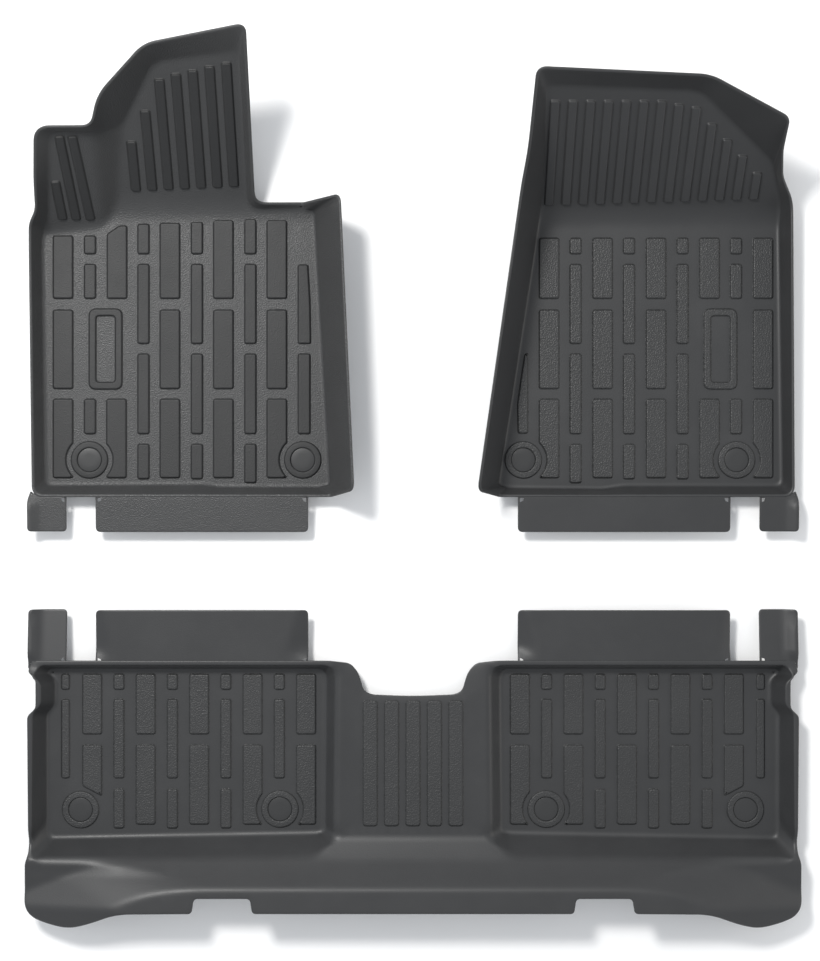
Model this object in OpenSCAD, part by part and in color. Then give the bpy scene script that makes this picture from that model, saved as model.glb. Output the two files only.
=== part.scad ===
// Floor liner set: three deep moulded trays (driver, passenger, one-piece rear)
// and the eight two-piece snap anchors that hold them on the car's floor posts.
// +X is the car's right, +Y its front, +Z up. Origin: middle of the box, on the floor.

/* [Sheet] */
// Thickness of the moulded sheet
sheet_t = 4; // [3:0.5:5]
// Height of the floor's upper face above the carpet
floor_z = 7; // [6.5:0.5:8]
// Width of one anti-slip runner under a tray
runner_w = 8; // [4:1:14]

/* [Tread] */
// Height of the tread pads above the floor face
pad_h = 3; // [1.5:0.5:4]
// Width of a wide tread pad
wide_pad_w = 35; // [28:1:38]
// Width of a narrow tread pad
narrow_pad_w = 20; // [14:1:24]
// Distance from one wide pad's middle to the next one's
pad_pitch = 96; // [92:1:98]
// Corner size of a tread pad
pad_corner = 4; // [1:0.5:6]
// Height of the ribs on toe-boards and tunnel
rib_h = 4; // [2:0.5:6]
// Width of a toe-board rib
toe_rib_w = 16; // [12:1:18]

/* [Toe-boards] */
// Rise of the driver's toe-board for each millimetre forward
driver_slope = 0.78; // [0.7:0.01:0.85]
// Where the driver's toe-board starts to rise
driver_bend_y = 500; // [499:0.5:501]
// Rise of the passenger's toe-board for each millimetre forward
passenger_slope = 1; // [0.9:0.01:1.05]
// Where the passenger's toe-board starts to rise
passenger_bend_y = 487; // [486:0.5:488]

/* [Anchors] */
// Outer radius of the moulded ring round an anchor
ring_r = 33; // [30:0.5:36]
// Radius of the anchor's closed head
cap_r = 20.5; // [18:0.5:21]
// Radius of the bore that takes the car's floor post
post_r = 6.5; // [5:0.5:8]

/* [Rear tray] */
// Height of the tunnel's top
tunnel_z = 30; // [26:1:36]
// Height of the ledge behind the footwells
ledge_z = 95; // [90:1:100]

/* [Hidden] */
rim_z = 36;               // rims that carry a flap
pad_z = floor_z + pad_h;
ring_z = floor_z + 3.4;
head_z = floor_z + 1.6;     // top of an anchor's head, sunk in its ring
under_z = floor_z - sheet_t;
sink = 1.5;               // how deep raised shapes are rooted in the sheet
corner_steps = 4;
ring_cut_r = ring_r + 9;
hole_r = 14;              // hole in the sheet at an anchor
collar_r = 10;            // socket's collar, which the cap grips

front_posts = [[198, 50], [581, 50]];
rear_posts = [[239, -577], [597, -578]];

function flip(p) = [-p[0], p[1]];
function unit(v) = norm(v) < 0.001 ? v * 0 : v / norm(v);
function sum(list, i = 0) = i >= len(list) ? [0, 0, 0] : list[i] + sum(list, i + 1);
function toward(a, b, d) = a + unit(b - a) * min(d, norm(b - a) * 0.45);
function curve(a, v, b, s) = a * (1 - s) * (1 - s) + v * 2 * s * (1 - s) + b * s * s;

// A loop of points with each corner of size d turned into a short curve
function rounded(p, d) = [for (i = [0 : len(p) - 1])
    let (before = p[(i + len(p) - 1) % len(p)], after = p[(i + 1) % len(p)])
    each d[i] == 0 ? [p[i]] : [for (k = [0 : corner_steps])
        curve(toward(p[i], before, d[i]), p[i], toward(p[i], after, d[i]), k / corner_steps)]];

// Where a row's points lie in its rounded loop: the first, the last, and both ends
function first_of(d, i) = i == 0 ? 0 : first_of(d, i - 1) + (d[i - 1] == 0 ? 1 : corner_steps + 1);
function last_of(d, i) = first_of(d, i) + (d[i] == 0 ? 0 : corner_steps);
function ends_of(d, i) = d[i] == 0 ? [first_of(d, i)] : [first_of(d, i), last_of(d, i)];

// The small face between a corner's curve and the line that cuts it off
function corner_face(d, i) = [for (k = [0 : corner_steps]) first_of(d, i) + k];

// Two triangles for each step round a wall, between loops that start at a and b
function wall_faces(n, a, b) = [for (i = [0 : n - 1])
    let (j = (i + 1) % n) each [[b + i, b + j, a + j], [b + i, a + j, a + i]]];

function face_area(p, f) = sum([for (i = [0 : len(f) - 1])
    cross(p[f[(i + 1) % len(f)]] - p[f[0]], p[f[i]] - p[f[0]])]) / 2;

// How the underside lies from the upper face: down, and outward where a steep face
// meets it. Where the point is a corner of flat boards, it stays on their undersides.
function under_shift(faces, normals, i) =
    let (mine = [for (k = [0 : len(faces) - 1]) if (len([for (v = faces[k]) if (v == i) 1]) > 0) k],
        steep = sum([for (k = mine) if (abs(normals[k][2]) < 0.62) normals[k]]),
        boards = [for (k = mine) if (abs(normals[k][2]) >= 0.62 && len(faces[k]) > 3) normals[k]],
        away = unit([steep[0], steep[1]]),
        out = len(boards) > 1 ? [away[0], 0] : away,
        drop = len(boards) == 0 ? 0 : (boards[0][0] * out[0] + boards[0][1] * out[1]) / boards[0][2])
    [-out[0] * sheet_t, -out[1] * sheet_t, (drop - 1) * sheet_t];

// A moulded sheet: its upper faces, the same faces below, and the edge between them
module moulded_sheet(p, faces) {
    n = len(p);
    normals = [for (f = faces) unit(face_area(p, f))];
    below = [for (i = [0 : n - 1]) p[i] + under_shift(faces, normals, i)];
    edges = [for (f = faces) for (i = [0 : len(f) - 1]) [f[i], f[(i + 1) % len(f)]]];
    codes = [for (e = edges) e[0] * n + e[1]];
    open_edges = [for (e = edges) if (len(search(e[1] * n + e[0], codes)) == 0) e];
    polyhedron(concat(p, below), concat(
        faces,
        [for (f = faces) [for (i = [len(f) - 1 : -1 : 0]) f[i] + n]],
        [for (e = open_edges) each [[e[1], e[0], e[0] + n], [e[1], e[0] + n, e[1] + n]]]));
}

// A flat shape with cut corners, centred across x, from y0 to y1
module bar_outline(w, y0, y1, c = pad_corner) {
    k = c * 0.3;
    polygon([[-w / 2, y0 + c], [-w / 2 + k, y0 + k], [-w / 2 + c, y0],
        [w / 2 - c, y0], [w / 2 - k, y0 + k], [w / 2, y0 + c],
        [w / 2, y1 - c], [w / 2 - k, y1 - k], [w / 2 - c, y1],
        [-w / 2 + c, y1], [-w / 2 + k, y1 - k], [-w / 2, y1 - c]]);
}

module pad(x, w, y0, y1) {
    translate([x, 0, floor_z - sink]) linear_extrude(pad_h + sink) bar_outline(w, y0, y1);
}

// A rib lying on a board that rises from bend_y with the given slope
module board_rib(x, y0, y1, bend_y, slope, w = toe_rib_w) {
    angle = atan(slope);
    translate([x, bend_y, floor_z]) rotate([angle, 0, 0]) translate([0, 0, -sink])
        linear_extrude(rib_h + sink) translate([-w / 2, (y0 - bend_y) / cos(angle)])
            square([w, (y1 - y0) / cos(angle)]);
}

module flat_flap(points, z) {
    translate([0, 0, z - sheet_t]) linear_extrude(sheet_t) polygon(points);
}

// The raised ring round an anchor
module anchor_ring(p) {
    translate([p[0], p[1], floor_z - sink]) difference() {
        cylinder(r = ring_r, h = ring_z - floor_z + sink, $fn = 64);
        translate([0, 0, -1]) cylinder(r = cap_r + 1, h = ring_z, $fn = 64);
    }
}

// What an anchor takes out of the pads and the sheet
module anchor_room(p) {
    translate([p[0], p[1], floor_z - sink - 1]) cylinder(r = ring_cut_r, h = 20, $fn = 64);
}
module anchor_hole(p) {
    translate([p[0], p[1], -1]) cylinder(r = hole_r, h = floor_z + 2, $fn = 64);
}

// Runners under a tray, from y0 to y1
module runners(xs, y0, y1) {
    for (x = xs) translate([x - runner_w / 2, y0, 0]) cube([runner_w, y1 - y0, under_z + 1]);
}

// The tread that the two front trays share, laid out for +X from the inboard side;
// the lists say where the foremost pads end
module front_tread(wide_ends, narrow_ends) {
    for (i = [0 : 4]) {
        x = 244.5 + pad_pitch * i;
        pad(x, wide_pad_w, 340, wide_ends[i]);
        if (i != 3) pad(x, wide_pad_w, 178, 319);
        pad(x, wide_pad_w, 18, 159);
    }
    for (i = [0 : 3]) {
        x = 292 + pad_pitch * i;
        pad(x, narrow_pad_w, 420, narrow_ends[i]);
        pad(x, narrow_pad_w, i == 3 ? 340 : 259, 401);
        pad(x, narrow_pad_w, 97, i == 3 ? 159 : 240);
        if (i < 3) pad(x, narrow_pad_w, i == 0 ? 9 : 16, 78);
    }
}

// Raised frame for a badge, left blank
module badge_frame() {
    translate([552, 0, floor_z - sink]) linear_extrude(pad_h + sink) difference() {
        bar_outline(59, 177, 321, 12);
        bar_outline(35, 189, 309, 6);
    }
}

// Driver's board heights: the toe-board and the foot rest beside it
function driver_z(y) = floor_z + max(0, y - driver_bend_y) * driver_slope;
function rest_z(x, y) = floor_z + max(0, y - 458 - (x + 666) * 0.113) * 0.906;
function passenger_z(y) = floor_z + max(0, y - passenger_bend_y) * passenger_slope;

module driver_tray() {
    // each row: foot of the wall x, y, z; rim x, y, z; corner size
    rows = [
        [-659, 4, floor_z, -675, -12, rim_z, 14],
        [-666, 452, floor_z, -679, 452, 46, 0],
        [-660, 466, rest_z(-660, 466), -675, 472, 54, 0],
        [-650, 484, rest_z(-650, 484), -661, 490, 75, 0],
        [-640, 540, rest_z(-640, 540), -658, 537, 110, 0],
        [-626, 616, rest_z(-626, 616), -647, 618, 168, 22],
        [-554, 614, rest_z(-554, 614), -548, 618, 168, 20],
        [-509, 627, driver_z(627), -533, 667, 200, 0],
        [-443, 728, driver_z(728), -452, 745, 232, 16],
        [-297, 741, driver_z(741), -285, 778, 241, 12],
        [-298, driver_bend_y, floor_z, -286, 505, 30, 24],
        [-185, driver_bend_y, floor_z, -181, 510, 20, 0],
        [-176, driver_bend_y - 2, floor_z, -130, 507, 124, 4],
        [-147, 3, floor_z, -107, 1, 112, 4],
        [-153, 0, floor_z, -143, -12, rim_z, 0],
        [-356, 1, floor_z, -356, -12, rim_z, 0],
        [-374, 6, floor_z, -374, -12, rim_z, 0]];
    sizes = [for (r = rows) r[6]];
    foot = rounded([for (r = rows) [r[0], r[1], r[2]]], sizes);
    rim = rounded([for (r = rows) [r[3], r[4], r[5]]], sizes);
    n = len(foot);
    // edge of the foot rest: its lower end, and the foot of its side wall
    // and the foot of the notch's sharp corner
    edge = [[-560, 470, floor_z], [-538, driver_bend_y, floor_z], [-520, 535, driver_z(535)],
        [-298, driver_bend_y, floor_z]];
    rest_end = last_of(sizes, 6);
    board = first_of(sizes, 7);             // side wall's far end
    notch = last_of(sizes, 10);
    low = 2 * n;
    moulded_sheet(concat(foot, rim, edge), concat(
        wall_faces(n, 0, n),
        [for (i = [0, 5, 8, 9, 12, 13]) corner_face(sizes, i)],
        [concat([notch], [for (i = [11 : 15]) each ends_of(sizes, i)]),
        [low + 3, notch, n - 2], [low + 1, low + 3, n - 2],
        concat([n - 2, n - 1], ends_of(sizes, 0), [first_of(sizes, 1), low, low + 1])],
        [for (i = [1 : 4]) [first_of(sizes, i), first_of(sizes, i) + 1, low]],
        [[first_of(sizes, 5), last_of(sizes, 5), low], [last_of(sizes, 5), first_of(sizes, 6), low]],
        [for (i = [first_of(sizes, 6) : rest_end - 1]) [i, i + 1, low]],
        [[rest_end, board, low + 2], [rest_end, low + 2, low + 1], [rest_end, low + 1, low]],
        [concat(corner_face(sizes, 10), [low + 3])],
        [concat([board], ends_of(sizes, 8), ends_of(sizes, 9), [first_of(sizes, 10), low + 3, low + 1,
            low + 2])]));
}

module passenger_tray() {
    // each row: foot of the wall x, y, z; rim x, y, z; corner size
    rows = [
        [156, -1, floor_z, 151, -12, rim_z, 0],
        [151, 3, floor_z, 117, -1, 112, 4],
        [223, 459, floor_z, 182, 456, 127, 0],
        [229, passenger_bend_y, floor_z, 186, 487, 133, 0],
        [231, 524, passenger_z(524), 191, 524, 142, 0],
        [232, 591, passenger_z(591), 201, 580, 170, 0],
        [226, 684, passenger_z(684), 211, 704, 241, 14],
        [488, 676, passenger_z(676), 498, 690, 243, 16],
        [628, 573, passenger_z(573), 636, 628, 200, 10],
        [636, 558, passenger_z(558), 635, 584, 145, 0],
        [642, 544, passenger_z(544), 643, 545, 100, 0],
        [657, 506, passenger_z(506), 670, 508, 52, 0],
        [660, passenger_bend_y, floor_z, 673, 487, 46, 0],
        [663, 3, floor_z, 676, -12, rim_z, 14],
        [372, 3, floor_z, 372, -12, rim_z, 0],
        [336, -3, floor_z, 336, -12, rim_z, 0]];
    sizes = [for (r = rows) r[6]];
    foot = rounded([for (r = rows) [r[0], r[1], r[2]]], sizes);
    rim = rounded([for (r = rows) [r[3], r[4], r[5]]], sizes);
    n = len(foot);
    bend_left = 1 + (corner_steps + 1) + 1;
    bend_right = bend_left + 2 + 3 * (corner_steps + 1) + 3 + 1;
    moulded_sheet(concat(foot, rim), concat(
        wall_faces(n, 0, n),
        [[for (i = [bend_left : bend_right]) i],
        concat([for (i = [bend_right : n - 1]) i], [for (i = [0 : bend_left]) i])]));
}

// The rear tray: its left half, the right half mirrored, and the faces that cross the middle
module rear_tray() {
    shelf_z = 58;
    // each row: foot of the footwell's wall x, y, z; its upper edge x, y, z; corner size
    rows = [
        [-655, -629, floor_z, -688, -663, 54, 10],
        [-655, -402, floor_z, -682, -399, 46, 0],
        [-640, -387, floor_z, -667, -385, 46, 0],
        [-640, -345, floor_z, -667, -347, 46, 0],
        [-655, -331, floor_z, -682, -331, 46, 0],
        [-654, -324, floor_z, -668, -312, rim_z, 4],
        [-162, -324, floor_z, -150, -312, rim_z, 4],
        [-158, -330, floor_z, -112, -317, tunnel_z, 0],
        [-160, -619, floor_z, -123, -624, tunnel_z, 0],
        [-168, -620, floor_z, -150, -661, shelf_z, 0],
        [-535, -626, floor_z, -542, -661, shelf_z, 0]];
    sizes = [for (r = rows) r[6]];
    foot = rounded([for (r = rows) [r[0], r[1], r[2]]], sizes);
    edge = rounded([for (r = rows) [r[3], r[4], r[5]]], sizes);
    n = len(foot);
    tunnel_front = n + n - 4;   // upper edge points: tunnel's front, its back, shelf, wing
    tunnel_back = tunnel_front + 1;
    shelf_in = tunnel_front + 2;
    shelf_out = tunnel_front + 3;
    wing_first = n;             // upper edge's rounded rear corner
    wing_last = n + corner_steps;
    side = first_of(sizes, 1);  // foot points of the side's step, and the front wall's far end
    front = last_of(sizes, 5);
    notch_x = [-278, -387];
    notch_y = -721;
    back_z = ledge_z + 3;
    extra = [
        [-99, -326, tunnel_z], [-93, -349, tunnel_z], [-87, -363, tunnel_z], [-76, -369, tunnel_z],
        [0, -373, tunnel_z], [notch_x[0], -744, back_z], [notch_x[0] - 5, notch_y, back_z],
        [notch_x[1] + 5, notch_y, back_z], [notch_x[1], -744, back_z],
        [-522, -744, back_z], [-498, -717, ledge_z + 1], [-449, -704, ledge_z],
        [-688, -717, 47], [-688, -738, 62], [-611, -745, 75],
        [-679, -757, 57], [-651, -769, 58], [-613, -777, 62], [-578, -769, 72], [-532, -747, 92],
        [-634, -332.5, floor_z], [-163.5, -332.5, floor_z], [-163.5, -614, floor_z], [-634, -614, floor_z]];
    e = 2 * n;
    tread = e + 20;             // corners of the floor's area that carries the tread
    left = concat(foot, edge, extra);
    other = len(left);          // how far on a point's mirror image is
    half = concat(
        wall_faces(n, 0, n),
        [for (i = [0, 5, 6]) corner_face(sizes, i)],
        [[last_of(sizes, 0), side, side + 1], [side + 2, side + 3, side + 4],
        [last_of(sizes, 0), side + 1, tread + 3], [side + 1, tread, tread + 3],
        [side + 1, side + 2, tread], [side + 2, side + 4, tread], [side + 4, front, tread],
        [front, first_of(sizes, 6), tread + 1, tread], [first_of(sizes, 6), last_of(sizes, 6), tread + 1],
        [last_of(sizes, 6), n - 4, tread + 1], [n - 4, n - 3, tread + 2, tread + 1],
        [n - 3, n - 2, tread + 2], [n - 2, n - 1, tread + 3, tread + 2], [n - 1, 0, tread + 3],
        [0, last_of(sizes, 0), tread + 3], [tread, tread + 1, tread + 2], [tread, tread + 2, tread + 3],
        [shelf_in, e + 11, shelf_out],
        [e + 11, e + 6, e + 7], [e + 11, e + 7, e + 8],
        [e + 11, e + 8, e + 9], [e + 11, e + 9, e + 10],
        [shelf_out, e + 11, e + 10], [shelf_out, e + 10, e + 9],
        [shelf_out, e + 9, e + 14], [shelf_out, e + 14, e + 12], [e + 12, e + 14, e + 13],
        [e + 13, e + 14, e + 16], [e + 13, e + 16, e + 15], [e + 14, e + 17, e + 16],
        [e + 14, e + 18, e + 17], [e + 14, e + 9, e + 18], [e + 9, e + 19, e + 18],
        [shelf_out, e + 12, wing_last]],
        [for (i = [wing_first : wing_last - 1]) [shelf_out, i + 1, i]]);
    moulded_sheet(concat(left, [for (p = left) [-p[0], p[1], p[2]]]), concat(
        half,
        [for (f = half) [for (i = [len(f) - 1 : -1 : 0]) f[i] + other]],
        [[tunnel_front, e, e + 1, e + 2, e + 3, e + 4, e + 3 + other, e + 2 + other, e + 1 + other,
            e + other, tunnel_front + other, tunnel_back + other, tunnel_back],
        [tunnel_back, tunnel_back + other, shelf_in + other, shelf_in],
        [shelf_in, shelf_in + other, e + 11 + other, e + 11],
        [e + 11, e + 11 + other, e + 6 + other, e + 6],
        [e + 6, e + 6 + other, e + 5 + other, e + 5]]));
}

module rear_tread() {
    for (i = [0 : 4]) {
        x = 192 + pad_pitch * i;
        pad(x, wide_pad_w, -442, -335);
        if (i < 4) pad(x, wide_pad_w, -603, -462);
    }
    translate([0, 0, floor_z - sink]) linear_extrude(pad_h + sink)
        polygon([[558.5, -462], [593.5, -462], [593.5, -535], [558.5, -553]]);
    for (i = [0 : 4]) {
        x = 240 + pad_pitch * i;
        w = narrow_pad_w - (i < 4 ? 2 : 6);
        pad(x, w, -362, -335);
        pad(x, w, -521, -380);
        if (i > 0 && i < 4) pad(x, w, -611, -541);
    }
}

module driver_liner() color("dimgray") difference() {
    union() {
        driver_tray();
        difference() {
            union() {
                mirror([1, 0, 0]) {
                    front_tread([480, 480, 475, 455, 452], [482, 477, 473, 452]);
                    badge_frame();
                }
                pad(-196, narrow_pad_w, 259, 400);
                pad(-196, narrow_pad_w, 97, 240);
            }
            for (p = front_posts) anchor_room(flip(p));
        }
        for (p = front_posts) anchor_ring(flip(p));
        tops = [608, 655, 702, 710, 715, 721, 726];
        for (i = [0 : 6])
            board_rib(-494 + 29.2 * i, 530 + 1.2 * i, tops[i], driver_bend_y, driver_slope);
        for (r = [[-602, 479, 611, 4.5], [-577, 479, 611, 5.5], [-626, 479, 540, 4]])
            translate([r[0], r[1], rest_z(r[0], r[1])]) rotate([42.2, 0, r[3]]) translate([0, 0, -sink])
                linear_extrude(rib_h + sink) bar_outline(15, 0, (r[2] - r[1]) / cos(42.2));
        flat_flap([[-566, -8], [-566, -71], [-558, -79], [-195, -79], [-187, -71], [-187, -8]], rim_z);
        flat_flap([[-679, -8], [-685, -20], [-685, -70], [-678, -78], [-626, -78], [-618, -70],
            [-618, -8]], rim_z);
        runners([-640, -532, -436, -340, -244], 15, 450);
    }
    for (p = front_posts) anchor_hole(flip(p));
}

module passenger_liner() color("dimgray") difference() {
    union() {
        passenger_tray();
        difference() {
            union() {
                front_tread([for (i = [0 : 4]) 448], [for (i = [0 : 3]) 448]);
                badge_frame();
                translate([0, 0, floor_z - sink]) linear_extrude(pad_h + sink)
                    polygon([[189, 98], [206, 98], [206, 240], [201, 236], [192, 180], [188, 140]]);
            }
            for (p = front_posts) anchor_room(p);
        }
        for (p = front_posts) anchor_ring(p);
        tops = [662, 662, 662, 662, 662, 662, 662, 657, 653, 629, 606, 582, 556];
        for (i = [0 : 12])
            board_rib(242.5 + 30.3 * i, 505 + 0.8 * i, tops[i], passenger_bend_y, passenger_slope);
        flat_flap([[187, -8], [187, -71], [195, -79], [558, -79], [566, -71], [566, -8]], rim_z);
        flat_flap([[618, -8], [618, -70], [626, -78], [678, -78], [685, -70], [685, -20], [679, -8]],
            rim_z);
        runners([244, 340, 436, 532, 640], 15, 450);
    }
    for (p = front_posts) anchor_hole(p);
}

module rear_liner() color("dimgray") difference() {
    union() {
        rear_tray();
        for (side = [0, 1]) mirror([side, 0, 0]) {
            difference() {
                mirror([1, 0, 0]) rear_tread();
                for (p = rear_posts) anchor_room(flip(p));
            }
            for (p = rear_posts) anchor_ring(flip(p));
            flat_flap([[-566, -318], [-566, -226], [-558, -218], [-195, -218], [-187, -226], [-187, -318]],
                rim_z);
            flat_flap([[-685, -318], [-685, -226], [-678, -217], [-626, -217], [-618, -225],
                [-618, -318]], rim_z);
            runners([-626, -532, -436, -340, -180], -605, -345);
        }
        for (x = [-76.5, -38.2, 0, 38.2, 76.5])
            translate([x, 0, tunnel_z - sink]) linear_extrude(rib_h - 1 + sink) bar_outline(25, -603, -380);
    }
    for (p = rear_posts, q = [p, flip(p)]) anchor_hole(q);
}

// Closed head of an anchor, with the skirt that snaps over the socket's collar
module anchor_cap(p) color("black") translate([p[0], p[1], 0]) {
    rotate_extrude($fn = 64) polygon([
        [0, floor_z], [collar_r, floor_z], [collar_r, floor_z - 3.4], [hole_r - 0.6, floor_z - 3.4],
        [hole_r - 0.3, floor_z - 2.8], [hole_r - 0.3, floor_z], [cap_r, floor_z],
        [cap_r, head_z - 0.6], [cap_r - 0.8, head_z], [0, head_z]]);
}

// Socket under the sheet: flange, collar and the bore for the car's floor post
module anchor_socket(p) color("gray") translate([p[0], p[1], 0]) difference() {
    union() {
        translate([0, 0, 0.4]) cylinder(r = 19, h = under_z - 0.4, $fn = 64);
        translate([0, 0, 0.4]) cylinder(r = collar_r, h = floor_z - 0.4, $fn = 64);
    }
    translate([0, 0, -1]) cylinder(r = post_r, h = floor_z + 2, $fn = 64);
}

driver_liner();
passenger_liner();
rear_liner();
anchor_cap(flip(front_posts[0]));  // driver_inboard_cap
anchor_cap(flip(front_posts[1]));  // driver_outboard_cap
anchor_cap(front_posts[0]);  // passenger_inboard_cap
anchor_cap(front_posts[1]);  // passenger_outboard_cap
anchor_cap(flip(rear_posts[0]));  // rear_left_inboard_cap
anchor_cap(flip(rear_posts[1]));  // rear_left_outboard_cap
anchor_cap(rear_posts[0]);  // rear_right_inboard_cap
anchor_cap(rear_posts[1]);  // rear_right_outboard_cap
anchor_socket(flip(front_posts[0]));  // driver_inboard_socket
anchor_socket(flip(front_posts[1]));  // driver_outboard_socket
anchor_socket(front_posts[0]);  // passenger_inboard_socket
anchor_socket(front_posts[1]);  // passenger_outboard_socket
anchor_socket(flip(rear_posts[0]));  // rear_left_inboard_socket
anchor_socket(flip(rear_posts[1]));  // rear_left_outboard_socket
anchor_socket(rear_posts[0]);  // rear_right_inboard_socket
anchor_socket(rear_posts[1]);  // rear_right_outboard_socket
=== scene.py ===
# %% [markdown]
# # Car floor liners
# Three deep trays moulded from black thermoplastic elastomer: one for the driver, one for
# the front passenger and one that covers the whole rear floor. Each tray is a thin sheet,
# so the plan is to make only its upper face, as smooth loops and lifted patches, and to let
# a Solidify modifier give it its thickness. Raised tread, ribs and rings are made apart,
# because on the real liner they have another grain.
# The frame holds the working model: bodies, joints and the place of every node.

# %% Load the frame
import math
import bmesh
import bpy
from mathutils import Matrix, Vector
from mathutils.geometry import delaunay_2d_cdt


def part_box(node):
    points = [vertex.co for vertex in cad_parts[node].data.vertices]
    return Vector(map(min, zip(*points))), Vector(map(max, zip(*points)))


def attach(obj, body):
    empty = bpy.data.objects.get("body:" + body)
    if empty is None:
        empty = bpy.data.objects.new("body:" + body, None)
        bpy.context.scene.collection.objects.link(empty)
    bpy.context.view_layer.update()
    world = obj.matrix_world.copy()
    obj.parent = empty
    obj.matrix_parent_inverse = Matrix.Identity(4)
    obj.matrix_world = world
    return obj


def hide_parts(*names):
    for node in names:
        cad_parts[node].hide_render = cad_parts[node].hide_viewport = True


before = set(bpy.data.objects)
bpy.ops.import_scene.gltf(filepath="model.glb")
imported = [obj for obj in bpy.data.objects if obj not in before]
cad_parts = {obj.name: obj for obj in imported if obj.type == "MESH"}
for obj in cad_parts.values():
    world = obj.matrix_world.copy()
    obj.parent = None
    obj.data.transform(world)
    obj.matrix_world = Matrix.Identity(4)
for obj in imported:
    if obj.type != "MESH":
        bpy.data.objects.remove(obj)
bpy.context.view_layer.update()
MM = 0.001

# %% [markdown]
# ## Camera
# The set is seen from straight above, from a few metres up, so walls that face outward
# from the middle of the view are hidden and those that face inward show. The camera comes
# first: every later choice can then be looked at from the right place.

# %% Camera
EYE_HEIGHT = 3.5
SEEN_HEIGHT = 1.7298        # how much floor the long side of the frame takes in
camera_data = bpy.data.cameras.new("studio_camera")
camera_data.sensor_width = 36
camera_data.lens = camera_data.sensor_width * EYE_HEIGHT / SEEN_HEIGHT
camera = bpy.data.objects.new("studio_camera", camera_data)
camera.location = (-0.0054, 0.013, EYE_HEIGHT)
bpy.context.scene.collection.objects.link(camera)
bpy.context.scene.camera = camera
print("lens, mm:", round(camera_data.lens, 1))

# %% [markdown]
# ## Loops and curves
# A liner's walls are drawn as a list of rows. A row pairs a point at the foot of the wall
# with the point of the rim above it, and says how far the corner there is rounded. Both
# points are rounded by the same curve, so the two loops always have the same number of
# stations and can be joined by quads.

# %% Stations round a tray
STEP = 9.0                  # longest distance between stations, mm
CORNER_STEPS = 7
MOST_OF_A_SIDE = 0.46       # two curves that share a side stay apart


def mix(a, b, t):
    return a + (b - a) * t


def bend(a, corner, b, t):
    """A point on the curve that leaves a toward corner and arrives at b."""
    return mix(mix(a, corner, t), mix(corner, b, t), t)


def toward(a, b, distance):
    length = (b - a).length
    return mix(a, b, min(distance / length, MOST_OF_A_SIDE)) if length else a.copy()


def rounded(points, sizes):
    """A closed loop through the points, corners curved and straights split into steps."""
    loop = []
    count = len(points)
    for i, point in enumerate(points):
        before, after = points[i - 1], points[(i + 1) % count]
        if sizes[i]:
            start, end = toward(point, before, sizes[i]), toward(point, after, sizes[i])
            loop += [bend(start, point, end, k / CORNER_STEPS) for k in range(CORNER_STEPS + 1)]
        else:
            loop.append(point.copy())
    return loop


print("corner of size 10:", [tuple(round(c, 1) for c in bend(
    Vector((10, 0)), Vector((0, 0)), Vector((0, 10)), t / 4)) for t in range(5)])

# %% [markdown]
# Two matching loops have to be split at the same places, so the longer of their two straights
# decides. Loops run clockwise seen from above: then their outward side is always on the left.

# %% Matching loops
def split_long(loops, step=STEP):
    """Splits every straight of several matching loops at the same places."""
    count = len(loops[0])
    result = [[] for _ in loops]
    for i in range(count):
        j = (i + 1) % count
        length = max((loop[j] - loop[i]).length for loop in loops)
        pieces = max(1, math.ceil(length / step))
        for k in range(pieces):
            for loop, out in zip(loops, result):
                out.append(mix(loop[i], loop[j], k / pieces))
    return result


def clockwise(corners):
    """The corners (x, y) in the order that runs clockwise seen from above."""
    following = corners[1:] + corners[:1]
    turn = sum((b[0] - a[0]) * (b[1] + a[1]) for a, b in zip(corners, following))
    return list(corners) if turn > 0 else list(reversed(corners))


def outward(loop):
    """For each point, the level direction that leaves a loop which runs clockwise."""
    count = len(loop)
    ways = []
    for i in range(count):
        run = loop[(i + 1) % count] - loop[i - 1]
        ways.append(Vector((-run.y, run.x, 0)).normalized())
    return ways


print("clockwise square:", clockwise([(0, 0), (9, 0), (9, 9), (0, 9)]))

# %% [markdown]
# ## Meshes from loops and patches
# A wall is a loft: quads between loops that follow one another from the floor up over the
# rim. A floor is a patch: the loop's inside, filled with triangles by a constrained
# Delaunay triangulation, with extra points where the height changes. A grid cut by the
# outline would do too, but it would leave slivers and would not meet the walls point for
# point. Everything is in millimetres until the mesh is handed over.

# %% A sheet under construction
def inside(x, y, loop):
    """Whether a point lies inside a closed loop, by counting crossings."""
    odd = False
    for a, b in zip(loop, loop[1:] + loop[:1]):
        if (a.y > y) != (b.y > y) and x < (b.x - a.x) * (y - a.y) / (b.y - a.y) + a.x:
            odd = not odd
    return odd


def clear_of(x, y, loops, gap):
    return all((p.x - x) ** 2 + (p.y - y) ** 2 > gap * gap for loop in loops for p in loop)


def grid(x0, x1, y0, y1, step):
    """Points of a grid over a box, both ends included."""
    across, along = max(1, round((x1 - x0) / step)), max(1, round((y1 - y0) / step))
    return [(mix(x0, x1, i / across), mix(y0, y1, j / along))
            for i in range(across + 1) for j in range(along + 1)]


print("grid of a 20 mm square:", len(grid(0, 20, 0, 20, 10)), "points")

# %% [markdown]
# The sheet class holds the points and faces. Its last step merges doubled points, turns all
# faces the same way, with the upper face up, and adds the Solidify modifier that gives the
# sheet its thickness downward, so the face that was drawn stays where it was drawn.

# %% The sheet class
MERGE = 0.00002             # metres


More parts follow.
